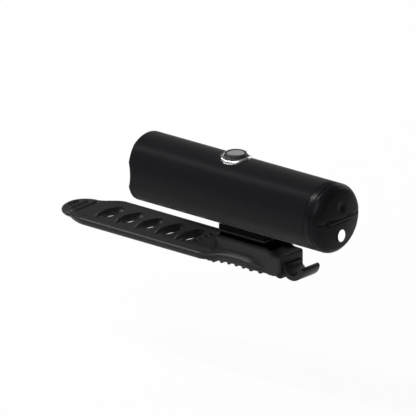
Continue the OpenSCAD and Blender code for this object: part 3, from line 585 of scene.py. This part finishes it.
def port_flap(name):
    """Port cover: a half disc of the proud dome with a rounded rim, a finger dent and a roll at its hinge.

    Each loop runs from the hinge's middle over the dome, round the rim and back along the seat.
    """
    a = np.radians(np.linspace(0, 180, 121))[:, None]
    up = FLAP_Z - AXIS_Z
    reach = np.sqrt(FLAP_R ** 2 - (up * np.cos(a)) ** 2) - up * np.sin(a)
    q = np.radians(np.linspace(0, 90, 14))[None, 1:]
    flat = np.linspace(0, 1, 60)[None, :] * (reach - FLAP_ROUND)
    over = reach - FLAP_ROUND + FLAP_ROUND * np.sin(q)
    seat = reach * np.linspace(0.98, 0, 16)[None, :]
    r = np.concatenate([flat, over, seat], axis=1)
    y, z = r * np.cos(a), FLAP_Z + r * np.sin(a)
    proud = dome_depth(np.minimum(np.hypot(y, z - AXIS_Z), TUBE_R)) + FLAP_PROUD
    dent = step(1 - np.hypot(y, z - DENT_Z) / DENT_R)
    fall = FLAP_FALL * (1 - step((z - FLAP_Z) / FALL_RUN))
    top = proud - DENT_DEEP * dent - fall
    turn = np.concatenate([np.ones((1, flat.shape[1])), np.cos(q), np.zeros((1, seat.shape[1]))], axis=1)
    depth = mix(COVER_SEAT + 0 * top, top, turn)
    disc = closed_ends(np.stack([TUBE_END - depth, y, z], axis=-1))
    ends = arc(0, 0, ROLL_ROUND, ROLL_R, 0, 90, 7)
    first = np.stack([ends[:, 1], -ROLL_HALF + ROLL_ROUND - ends[:, 0]], axis=-1)
    last = np.stack([ends[::-1, 1], ROLL_HALF - ROLL_ROUND + ends[::-1, 0]], axis=-1)
    profile = np.concatenate([[[0, -ROLL_HALF]], first, last, [[0, ROLL_HALF]]])
    roll = turned(profile, (TUBE_END - ROLL_DEPTH, 0, HINGE_Z), (0, 1, 0), (1, 0, 0), (0, 0, 1), 48)
    return joined_piece(name, [(disc, False, True), (roll, True, False)], 45)


# Button


def on_tube(y, over):
    """Height of a point that stands a given distance over the tube's round, at a place across."""
    return AXIS_Z + np.sqrt((TUBE_R + over) ** 2 - y ** 2)


def bezel_ring(name):
    """Bright ring let into the tube: a rounded section carried round the button and bent over the tube."""
    section = np.concatenate([
        arc(6.75, 0.25, 0.7, 0.85, 0, 90, 12), arc(6.45, 0.8, 0.55, 0.3, 90, 180, 8),
        [[5.9, -0.5], [7.45, -0.5]],
    ])
    a = np.linspace(0, 2 * np.pi, 144, endpoint=False)[:, None]
    r, over = section[None, :, 0], section[None, :, 1]
    x, y = BUTTON_X + r * np.cos(a), r * np.sin(a)
    grid = np.stack([x, y, on_tube(y, over + 0 * a)], axis=-1)
    return grid_piece(name, grid, wrap_rows=True, wrap_cols=True, angle=50)


def button_boot(name):
    """Rubber boot round the button: a turned section with a low rim, a groove and a raised shoulder."""
    profile = np.concatenate([
        [[4.2, -1.8], [4.2, 1.85]], arc(4.72, 1.8, 0.52, 0.5, 180, 0, 14), [[5.24, 0.9]],
        arc(5.42, 0.85, 0.18, 0.2, 180, 270, 4)[1:-1], arc(5.6, 0.7, 0.25, 0.3, 110, 0, 7), [[5.85, -2.2]],
    ])
    grid = turned(profile, (BUTTON_X, 0, BUTTON_Z), (0, 0, 1), (1, 0, 0), (0, 1, 0), 112)
    return grid_piece(name, grid, wrap_rows=True, wrap_cols=True, angle=50)


def button_disc(name):
    """Grey button: a turned section with a rounded rim and a shallow dished top, on its stem."""
    dish_r = np.linspace(3.6, 0, 14)
    dish_z = 2.0 - 0.25 * (1 - (dish_r / dish_r[0]) ** 2)
    profile = np.concatenate([
        [[0.0, -4.39], [1.6, -4.39], [1.6, -2.0], [4.1, -2.0]], arc(3.75, 1.65, 0.35, 0.35, 0, 90, 7),
        np.stack([dish_r, dish_z], axis=-1),
    ])
    grid = turned(profile, (BUTTON_X, 0, BUTTON_Z), (0, 0, 1), (1, 0, 0), (0, 1, 0), 112)
    return grid_piece(name, grid, wrap_rows=True, angle=50)


# Shader helpers


def group(name, inputs, outputs):
    """An empty shader node group with named sockets; returns its tree with its input and output nodes."""
    tree = bpy.data.node_groups.new(name, "ShaderNodeTree")
    for label, kind, value in inputs:
        socket = tree.interface.new_socket(label, in_out="INPUT", socket_type=kind)
        socket.default_value = value
    for label, kind in outputs:
        tree.interface.new_socket(label, in_out="OUTPUT", socket_type=kind)
    return tree, tree.nodes.new("NodeGroupInput"), tree.nodes.new("NodeGroupOutput")


def noise(tree, vector, scale, detail, rough):
    """A noise node fed by a vector, with its scale from a socket."""
    node = tree.nodes.new("ShaderNodeTexNoise")
    node.inputs["Detail"].default_value = detail
    node.inputs["Roughness"].default_value = rough
    tree.links.new(vector, node.inputs["Vector"])
    tree.links.new(scale, node.inputs["Scale"])
    return node.outputs["Fac"]


def sum_of(tree, a, b, how="ADD", clamp=False):
    """A math node of two sockets or numbers."""
    node = tree.nodes.new("ShaderNodeMath")
    node.operation = how
    node.use_clamp = clamp
    for k, value in enumerate((a, b)):
        if isinstance(value, (int, float)):
            node.inputs[k].default_value = value
        else:
            tree.links.new(value, node.inputs[k])
    return node.outputs[0]


def spread(tree, value, low, high, new_low, new_high):
    """Maps a value's range to a new one, clamped; the new ends are sockets or numbers."""
    node = tree.nodes.new("ShaderNodeMapRange")
    for label, item in (("Value", value), ("From Min", low), ("From Max", high),
                        ("To Min", new_low), ("To Max", new_high)):
        if isinstance(item, (int, float)):
            node.inputs[label].default_value = item
        else:
            tree.links.new(item, node.inputs[label])
    return node.outputs["Result"]


def mixed(tree, fac, a, b):
    """A colour mix of two sockets or colours."""
    node = tree.nodes.new("ShaderNodeMix")
    node.data_type = "RGBA"
    tree.links.new(fac, node.inputs["Factor"])
    for label, item in (("A", a), ("B", b)):
        socket = [s for s in node.inputs if s.name == label and s.type == "RGBA"][0]
        if isinstance(item, (tuple, list)):
            socket.default_value = item
        else:
            tree.links.new(item, socket)
    return [s for s in node.outputs if s.type == "RGBA"][0]


def surface_group():
    """Fine grain over cloudy handling marks: puts out a colour, a roughness and a height."""
    tree, given, out = group("fine_surface", [
        ("Vector", "NodeSocketVector", (0, 0, 0)),
        ("Colour", "NodeSocketColor", (0.02, 0.02, 0.02, 1)),
        ("Worn", "NodeSocketColor", (0.04, 0.04, 0.04, 1)),
        ("Grain scale", "NodeSocketFloat", 2500.0),
        ("Cloud scale", "NodeSocketFloat", 60.0),
        ("Rough low", "NodeSocketFloat", 0.4),
        ("Rough high", "NodeSocketFloat", 0.5),
        ("Wear", "NodeSocketFloat", 0.15),
    ], [("Colour", "NodeSocketColor"), ("Roughness", "NodeSocketFloat"), ("Height", "NodeSocketFloat")])
    vector = given.outputs["Vector"]
    grain = noise(tree, vector, given.outputs["Grain scale"], 3.0, 0.55)
    cloud = noise(tree, vector, given.outputs["Cloud scale"], 5.0, 0.6)
    worn = spread(tree, cloud, 0.35, 0.75, 0.0, given.outputs["Wear"])
    speck = spread(tree, grain, 0.3, 0.7, -0.06, 0.06)
    amount = sum_of(tree, worn, speck, "ADD", True)
    colour = mixed(tree, amount, given.outputs["Colour"], given.outputs["Worn"])
    tree.links.new(colour, out.inputs["Colour"])
    rough = spread(tree, cloud, 0.3, 0.7, given.outputs["Rough low"], given.outputs["Rough high"])
    tree.links.new(rough, out.inputs["Roughness"])
    tree.links.new(grain, out.inputs["Height"])
    return tree


FINE_SURFACE = surface_group()


def material(name, colour, worn, rough, grain, cloud, wear, bump, metal=0.0, specular=0.5, sheen=0.0):
    """A material of the fine surface group on Object coordinates, with its constants on the shader."""
    mat = bpy.data.materials.new(name)
    mat.use_nodes = True
    tree = mat.node_tree
    shader = tree.nodes["Principled BSDF"]
    where = tree.nodes.new("ShaderNodeTexCoord")
    fine = tree.nodes.new("ShaderNodeGroup")
    fine.node_tree = FINE_SURFACE
    tree.links.new(where.outputs["Object"], fine.inputs["Vector"])
    fine.inputs["Colour"].default_value = (*colour, 1)
    fine.inputs["Worn"].default_value = (*worn, 1)
    fine.inputs["Grain scale"].default_value = grain
    fine.inputs["Cloud scale"].default_value = cloud
    fine.inputs["Rough low"].default_value = rough[0]
    fine.inputs["Rough high"].default_value = rough[1]
    fine.inputs["Wear"].default_value = wear
    tree.links.new(fine.outputs["Colour"], shader.inputs["Base Color"])
    tree.links.new(fine.outputs["Roughness"], shader.inputs["Roughness"])
    if bump:
        height = tree.nodes.new("ShaderNodeBump")
        height.inputs["Strength"].default_value = bump
        height.inputs["Distance"].default_value = 0.00005
        tree.links.new(fine.outputs["Height"], height.inputs["Height"])
        tree.links.new(height.outputs["Normal"], shader.inputs["Normal"])
    shader.inputs["Metallic"].default_value = metal
    shader.inputs["Specular IOR Level"].default_value = specular
    shader.inputs["Sheen Weight"].default_value = sheen
    return mat


def grey(value, blue=0.0):
    """A grey of the given linear value, with a little more blue."""
    return (value, value, value * (1 + blue))


ANODISED = material("anodised_black", grey(0.0052, 0.3), grey(0.0072, 0.26), (0.31, 0.36),
                    5200, 45, 0.3, 0.06, specular=0.014, sheen=0.15)
CAP_BLACK = material("cap_black", grey(0.0072, 0.25), grey(0.0105, 0.2), (0.28, 0.36),
                     3800, 55, 0.25, 0.08, specular=0.1)
COVER_RUBBER = material("cover_rubber", grey(0.0045, 0.2), grey(0.008, 0.15), (0.4, 0.5),
                        3000, 70, 0.25, 0.12, specular=0.16)
STRAP_RUBBER = material("strap_rubber", grey(0.021, 0.03), grey(0.03, 0.02), (0.36, 0.44),
                        2600, 80, 0.3, 0.12, specular=0.2)
BRACKET_BLACK = material("bracket_black", grey(0.017), grey(0.025), (0.28, 0.38),
                         3200, 80, 0.2, 0.06, specular=0.18)
# Painted shade: the lamp's foot is black plastic, but its near-black, almost unreflecting finish stands in
# for the shade it sits in under the tube.
FOOT_BLACK_PAINTED_SHADE = material("gloss_black", grey(0.0015), grey(0.003), (0.2, 0.26),
                       3200, 60, 0.15, 0.02, specular=0.02)
BLACK_PLASTIC = material("black_plastic", grey(0.012), grey(0.022), (0.4, 0.5), 3000, 60, 0.2, 0.1)
SEAL_RUBBER = material("seal_rubber", grey(0.02), grey(0.04), (0.6, 0.7), 2600, 60, 0.2, 0.15)
BOOT_RUBBER = material("boot_rubber", grey(0.03), grey(0.045), (0.42, 0.54), 3600, 90, 0.25, 0.12)
BUTTON_GREY = material("button_grey", grey(0.3, 0.02), grey(0.38, 0.02), (0.32, 0.42),
                       4200, 110, 0.3, 0.08)
BRIGHT_ALU = material("bright_aluminium", grey(0.86, 0.01), grey(0.74, 0.01), (0.2, 0.3),
                      6000, 140, 0.3, 0.05, metal=1.0)
BARE_ALU = material("bare_aluminium", grey(0.62, 0.02), grey(0.5, 0.02), (0.3, 0.42),
                    3000, 60, 0.3, 0.1, metal=1.0)
SILVER = material("reflector_silver", grey(0.93), grey(0.88), (0.05, 0.1),
                  900, 120, 0.2, 0.04, metal=1.0)
NICKEL = material("nickel", (0.72, 0.7, 0.66), (0.6, 0.58, 0.54), (0.22, 0.34),
                  4000, 120, 0.3, 0.06, metal=1.0)
WHITE_BOARD = material("white_board", (0.78, 0.78, 0.75), (0.7, 0.7, 0.67), (0.4, 0.5),
                       3000, 80, 0.2, 0.05)
PHOSPHOR = material("phosphor", (0.86, 0.62, 0.08), (0.9, 0.72, 0.2), (0.3, 0.4), 6000, 160, 0.4, 0.1)
GREEN_BOARD = material("green_board", (0.02, 0.13, 0.05), (0.03, 0.18, 0.08), (0.3, 0.4),
                       2400, 90, 0.3, 0.1)
GREY_PLASTIC = material("grey_plastic", grey(0.05, 0.08), grey(0.08, 0.08), (0.45, 0.55),
                        2800, 70, 0.2, 0.12)
CELL_WRAP = material("cell_wrap", (0.02, 0.12, 0.25), (0.03, 0.16, 0.3), (0.25, 0.35),
                     1800, 50, 0.25, 0.05)


def clear_material(name, tint, rough, cloud):
    """Clear moulded plastic: full transmission, with faint cloudy roughness."""
    mat = material(name, tint, tint, rough, 3000, cloud, 0.1, 0.0)
    shader = mat.node_tree.nodes["Principled BSDF"]
    shader.inputs["Transmission Weight"].default_value = 1.0
    shader.inputs["IOR"].default_value = 1.49
    return mat


CLEAR_LENS = clear_material("clear_lens", (0.97, 0.98, 0.99), (0.0, 0.03), 50)
INDICATOR = material("indicator_clear", (0.86, 0.88, 0.9), (0.95, 0.95, 0.96), (0.08, 0.14),
                     3000, 200, 0.4, 0.02, specular=0.6)


def dark_ring_and_painted_glow(mat, half_y, half_z, centre_z, colour):
    """Darkens a window outside an oval in Y and Z, and lets the oval glow white: painted light, as the
    indicator behind it is not lit.
    """
    tree = mat.node_tree
    shader = tree.nodes["Principled BSDF"]
    plain = shader.inputs["Base Color"].links[0].from_socket
    place = tree.nodes.new("ShaderNodeSeparateXYZ")
    tree.links.new(tree.nodes["Texture Coordinate"].outputs["Object"], place.inputs[0])
    across = sum_of(tree, place.outputs["Y"], half_y * MM, "DIVIDE")
    up = sum_of(tree, sum_of(tree, place.outputs["Z"], centre_z * MM, "SUBTRACT"), half_z * MM, "DIVIDE")
    square = sum_of(tree, sum_of(tree, across, across, "MULTIPLY"), sum_of(tree, up, up, "MULTIPLY"))
    shown = mixed(tree, spread(tree, square, 0.94, 1.06, 0.0, 1.0), plain, (*colour, 1))
    tree.links.new(shown, shader.inputs["Base Color"])
    tree.links.new(shown, shader.inputs["Emission Color"])
    # Painted glow: emission makes the unlit window shine white.
    shader.inputs["Emission Strength"].default_value = WINDOW_PAINTED_GLOW


dark_ring_and_painted_glow(INDICATOR, WINDOW_HALF_Y, WINDOW_HALF_Z, WINDOW_Z, grey(0.006, 0.2))

NODE_LOOKS = {
    "housing_tube": ANODISED, "lens_ring": BLACK_PLASTIC, "front_lens": CLEAR_LENS,
    "lens_gasket": SEAL_RUBBER, "reflector": SILVER, "led_board": WHITE_BOARD,
    "led_emitters": PHOSPHOR, "heat_sink": BARE_ALU,
    "inner_chassis": GREY_PLASTIC, "battery_cell": CELL_WRAP, "cell_tabs": NICKEL, "cell_pad": SEAL_RUBBER,
    "driver_board": GREEN_BOARD, "switch_body": GREY_PLASTIC, "switch_plunger": GREY_PLASTIC,
    "rear_cap": CAP_BLACK, "rear_seal": SEAL_RUBBER, "cap_screws": NICKEL, "usb_socket": NICKEL,
    "rear_board": GREEN_BOARD, "indicator_led": PHOSPHOR, "indicator_lens": INDICATOR,
    "mount_foot": FOOT_BLACK_PAINTED_SHADE, "bracket_frame": BRACKET_BLACK, "bracket_screws": NICKEL,
}
for node_name, look in NODE_LOOKS.items():
    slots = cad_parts[node_name].data.materials
    slots.clear()
    slots.append(look)


def soften(node_name, width):
    """Rounds a node's sharp edges: welds its triangles, dissolves flat ones and bevels what is left."""
    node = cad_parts[node_name]
    weld = node.modifiers.new("weld", "WELD")
    weld.merge_threshold = 2e-6
    flat = node.modifiers.new("flat", "DECIMATE")
    flat.decimate_type = "DISSOLVE"
    flat.angle_limit = math.radians(1.0)
    edge = node.modifiers.new("edge", "BEVEL")
    edge.width = width * MM
    edge.segments = 3
    edge.limit_method = "ANGLE"
    edge.angle_limit = math.radians(40.0)


for node_name, width in (("bracket_frame", 0.5), ("rear_cap", 0.7)):
    soften(node_name, width)


def dress(piece, look, body, slot, *nodes):
    """Gives a piece its material, the body it rides on, and hides the nodes it stands for. The finish's name,
    slot, is not used.
    """
    piece.data.materials.append(look)
    if body:
        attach(piece, body)
    if nodes:
        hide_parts(*nodes)


def bend(piece):
    """Bakes the placing of a stretch of strap, from one cut to the next, into its mesh."""
    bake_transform(piece)


dress(cradle("cradle_moulding"), STRAP_RUBBER, "lamp", "strap_rubber", "strap_cradle")
root = strap_stretch("strap_root", BLOCK_FRONT, ROOT_SEAM, 0, 0, 24)
dress(root, STRAP_RUBBER, None, "strap_rubber", "strap_span_1")
bend(root)
cuts = [ROOT_SEAM] + SLOT_X
for k in range(len(SLOT_X)):
    stretch = strap_stretch(f"strap_stretch_{k + 1}", cuts[k], cuts[k + 1], int(k > 0), 1)
    dress(stretch, STRAP_RUBBER, None, "strap_rubber", f"strap_span_{k + 2}")
    bend(stretch)
dress(strap_tip("strap_pull_tip"), STRAP_RUBBER, "span_6", "strap_rubber", "strap_span_6")
studs = grip_studs("strap_grip_studs")
dress(studs, STRAP_RUBBER, None, "strap_rubber")
bend(studs)
dress(foot_lip("foot_lip"), BRACKET_BLACK, "lamp", "bracket_black")
dress(cap_shoulder("cap_shoulder"), CAP_BLACK, "lamp", "cap_black")
dress(port_flap("port_flap"), COVER_RUBBER, "cover", "cover_rubber", "port_cover")
dress(bezel_ring("button_bezel"), BRIGHT_ALU, "lamp", "bright_aluminium", "button_ring")
dress(button_boot("button_boot_moulding"), BOOT_RUBBER, "lamp", "boot_rubber", "button_boot")
dress(button_disc("button_disc"), BUTTON_GREY, "button", "button_grey", "button_cap")


# Stage: white floor, soft lights and the camera at the photograph's angle


def stage_material(name, colour, camera_glow, rear_glow, front_glow):
    """White floor: near plain white to the camera; to all else it glows, more so towards the front."""
    mat = bpy.data.materials.new(name)
    mat.use_nodes = True
    tree = mat.node_tree
    out = tree.nodes["Material Output"]
    shader = tree.nodes["Principled BSDF"]
    shader.inputs["Base Color"].default_value = (*colour, 1)
    shader.inputs["Roughness"].default_value = 0.9
    shader.inputs["Emission Color"].default_value = (0.96, 0.98, 1, 1)
    place = tree.nodes.new("ShaderNodeSeparateXYZ")
    tree.links.new(tree.nodes.new("ShaderNodeTexCoord").outputs["Object"], place.inputs[0])
    lit = spread(tree, place.outputs["X"], -0.25, 0.35, rear_glow, front_glow)
    tree.links.new(lit, shader.inputs["Emission Strength"])
    glow = tree.nodes.new("ShaderNodeEmission")
    glow.inputs["Color"].default_value = (1, 1, 1, 1)
    path = tree.nodes.new("ShaderNodeLightPath")
    blend = tree.nodes.new("ShaderNodeMixShader")
    share = sum_of(tree, path.outputs["Is Camera Ray"], camera_glow, "MULTIPLY")
    tree.links.new(share, blend.inputs["Fac"])
    tree.links.new(shader.outputs[0], blend.inputs[1])
    tree.links.new(glow.outputs[0], blend.inputs[2])
    tree.links.new(blend.outputs[0], out.inputs["Surface"])
    return mat


floor_side = np.linspace(-FLOOR_HALF, FLOOR_HALF, 3)
floor_grid = np.stack(np.meshgrid(floor_side, floor_side, [FLOOR_Z], indexing="ij"), axis=-1)[:, :, 0, :]
floor = grid_piece("floor", floor_grid)
floor.data.materials.append(stage_material("floor_white", (0.8, 0.8, 0.8), 0.94, 0.03, 0.25))

world = bpy.data.worlds.new("studio")
bpy.context.scene.world = world
world.use_nodes = True
sky = world.node_tree
back = sky.nodes["Background"]
way = sky.nodes.new("ShaderNodeVectorMath")
way.operation = "DOT_PRODUCT"
way.inputs[1].default_value = (0.25, 0.25, 0.9)
sky.links.new(sky.nodes.new("ShaderNodeTexCoord").outputs["Generated"], way.inputs[0])
room = spread(sky, way.outputs["Value"], 0.2, 0.9, 0.08, 0.22)
ray = sky.nodes.new("ShaderNodeLightPath")
shade = spread(sky, ray.outputs["Is Camera Ray"], 0.0, 1.0, room, 1.0)
sky.links.new(shade, back.inputs["Strength"])
back.inputs["Color"].default_value = (1, 1, 1, 1)


def area_light(name, place, size, power):
    """Soft box: a rectangular area light at a place, turned to the lamp, its long side along X; in metres."""
    data = bpy.data.lights.new(name, "AREA")
    data.shape = "RECTANGLE"
    data.size, data.size_y = size
    data.energy = power
    light = bpy.data.objects.new(name, data)
    light.location = place
    back_way = (Vector(place) - Vector(LIGHT_AIM)).normalized()
    long_way = (Vector((1, 0, 0)) - back_way * back_way.x).normalized()
    light.rotation_mode = "QUATERNION"
    axes = Matrix((long_way, back_way.cross(long_way), back_way)).transposed()
    light.rotation_quaternion = axes.to_quaternion()
    bpy.context.scene.collection.objects.link(light)


area_light("front_strip", (0.734, 0.264, 0.93), (1.0, 0.09), 10.0)
area_light("near_fill", (-0.35, 0.95, 0.85), (1.0, 0.7), 6.0)
area_light("far_fill", (0.1, -1.1, 0.45), (1.0, 0.7), 3.0)

camera_data = bpy.data.cameras.new("photo_camera")
camera_data.sensor_width = SENSOR
camera_data.lens = LENS
camera = bpy.data.objects.new("photo_camera", camera_data)
azimuth, elevation = math.radians(AZIMUTH), math.radians(ELEVATION)
toward = Vector((math.sin(azimuth) * math.cos(elevation), -math.cos(azimuth) * math.cos(elevation),
                 math.sin(elevation)))
distance = PHOTO_PX / PX_PER_MM * MM * LENS / SENSOR
camera.location = Vector([c * MM for c in CAMERA_AIM]) + toward * distance
camera.rotation_mode = "QUATERNION"
camera.rotation_quaternion = (-toward).to_track_quat("-Z", "Y")
camera_data.clip_end = 60.0
bpy.context.scene.collection.objects.link(camera)
bpy.context.scene.camera = camera
bpy.context.scene.view_settings.view_transform = "Standard"
